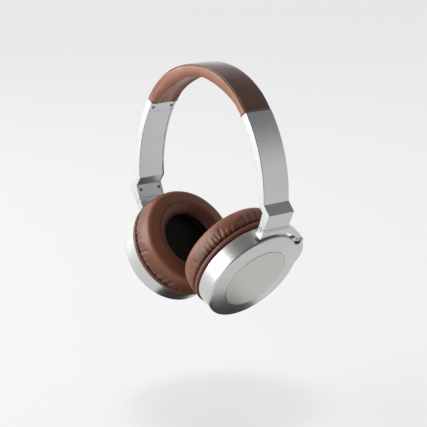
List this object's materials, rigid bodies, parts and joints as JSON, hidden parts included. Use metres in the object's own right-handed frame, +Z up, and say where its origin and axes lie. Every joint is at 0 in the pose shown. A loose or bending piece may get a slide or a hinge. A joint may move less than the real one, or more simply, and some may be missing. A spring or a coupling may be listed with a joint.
{
  "type": "over ear headphones",
  "caption": "Over ear headphones with a leather padded headband, sliding bent metal arms, swivelling tilting round cups and leather ear pads.",
  "frame": {"origin": "underside of the headband at its apex, where the head or a hanger carries it", "axes": "+X towards the wearer's left cup, -Y to the wearer's front, +Z up through the middle of the headband"},
  "size_m": [0.165, 0.0869, 0.1934],
  "materials": {
    "brown_leather": "satin",
    "pad_leather": "satin",
    "foam": "matte",
    "black_plastic": "matte",
    "black_plastic_gloss": "gloss",
    "lead_jacket": "matte",
    "spring_steel": "brushed",
    "satin_aluminium": "satin",
    "bearing_plastic": "matte",
    "screw_steel": "satin",
    "magnet_plating": "satin",
    "diaphragm_film": "gloss",
    "black_grille": "matte",
    "black_cloth": "matte"
  },
  "bodies": {
    "headband": {"headband_top_leather": "brown_leather", "headband_wrap_leather": "brown_leather", "headband_foam": "foam", "headband_former": "black_plastic", "crossover_lead": "lead_jacket", "headband_spring": "spring_steel", "headband_end_caps": "black_plastic"},
    "arm_left": {"arm_shell_left": "satin_aluminium", "guide_plate_left": "satin_aluminium", "arm_cover_left": "satin_aluminium", "knee_cover_left": "satin_aluminium", "slider_guide_left": "bearing_plastic", "guide_screws_left": "screw_steel", "knee_screws_left": "screw_steel", "swivel_bush_left": "bearing_plastic"},
    "yoke_left": {"yoke_left": "satin_aluminium", "swivel_pin_left": "screw_steel", "cross_pin_left": "screw_steel", "swivel_washer_left": "bearing_plastic", "tilt_axle_left": "screw_steel"},
    "cup_left": {"cup_shell_left": "satin_aluminium", "face_disc_left": "satin_aluminium", "tilt_bush_left": "bearing_plastic", "baffle_left": "black_plastic", "baffle_screws_left": "screw_steel", "driver_frame_left": "black_plastic", "driver_magnet_left": "magnet_plating", "diaphragm_left": "diaphragm_film", "driver_grille_left": "black_grille", "pad_ring_left": "black_plastic", "baffle_cloth_left": "black_cloth", "ear_pad_left": "pad_leather", "jack_socket": "black_plastic_gloss"},
    "arm_right": {"arm_shell_right": "satin_aluminium", "guide_plate_right": "satin_aluminium", "arm_cover_right": "satin_aluminium", "knee_cover_right": "satin_aluminium", "slider_guide_right": "bearing_plastic", "guide_screws_right": "screw_steel", "knee_screws_right": "screw_steel", "swivel_bush_right": "bearing_plastic"},
    "yoke_right": {"yoke_right": "satin_aluminium", "swivel_pin_right": "screw_steel", "cross_pin_right": "screw_steel", "swivel_washer_right": "bearing_plastic", "tilt_axle_right": "screw_steel"},
    "cup_right": {"cup_shell_right": "satin_aluminium", "face_disc_right": "satin_aluminium", "tilt_bush_right": "bearing_plastic", "baffle_right": "black_plastic", "baffle_screws_right": "screw_steel", "driver_frame_right": "black_plastic", "driver_magnet_right": "magnet_plating", "diaphragm_right": "diaphragm_film", "driver_grille_right": "black_grille", "pad_ring_right": "black_plastic", "baffle_cloth_right": "black_cloth", "ear_pad_right": "pad_leather"}
  },
  "joints": [
    {"name": "slide_left", "type": "slide", "parent": "headband", "child": "arm_left", "axis": [0.4555, 0, -0.8902], "range_m": [0, 0.018]},
    {"name": "swivel_left", "type": "hinge", "parent": "arm_left", "child": "yoke_left", "pos_m": [0.07399, 0, -0.10805], "axis": [-0.454, 0, -0.891], "range_deg": [-12, 12]},
    {"name": "tilt_left", "type": "hinge", "parent": "yoke_left", "child": "cup_left", "pos_m": [0.06384, 0, -0.12397], "axis": [0, -1, 0], "range_deg": [0, 40]},
    {"name": "slide_right", "type": "slide", "parent": "headband", "child": "arm_right", "axis": [-0.4555, 0, -0.8902], "range_m": [0, 0.018]},
    {"name": "swivel_right", "type": "hinge", "parent": "arm_right", "child": "yoke_right", "pos_m": [-0.07399, 0, -0.10805], "axis": [0.454, 0, -0.891], "range_deg": [-12, 12]},
    {"name": "tilt_right", "type": "hinge", "parent": "yoke_right", "child": "cup_right", "pos_m": [-0.06384, 0, -0.12397], "axis": [0, 1, 0], "range_deg": [0, 40]}
  ]
}
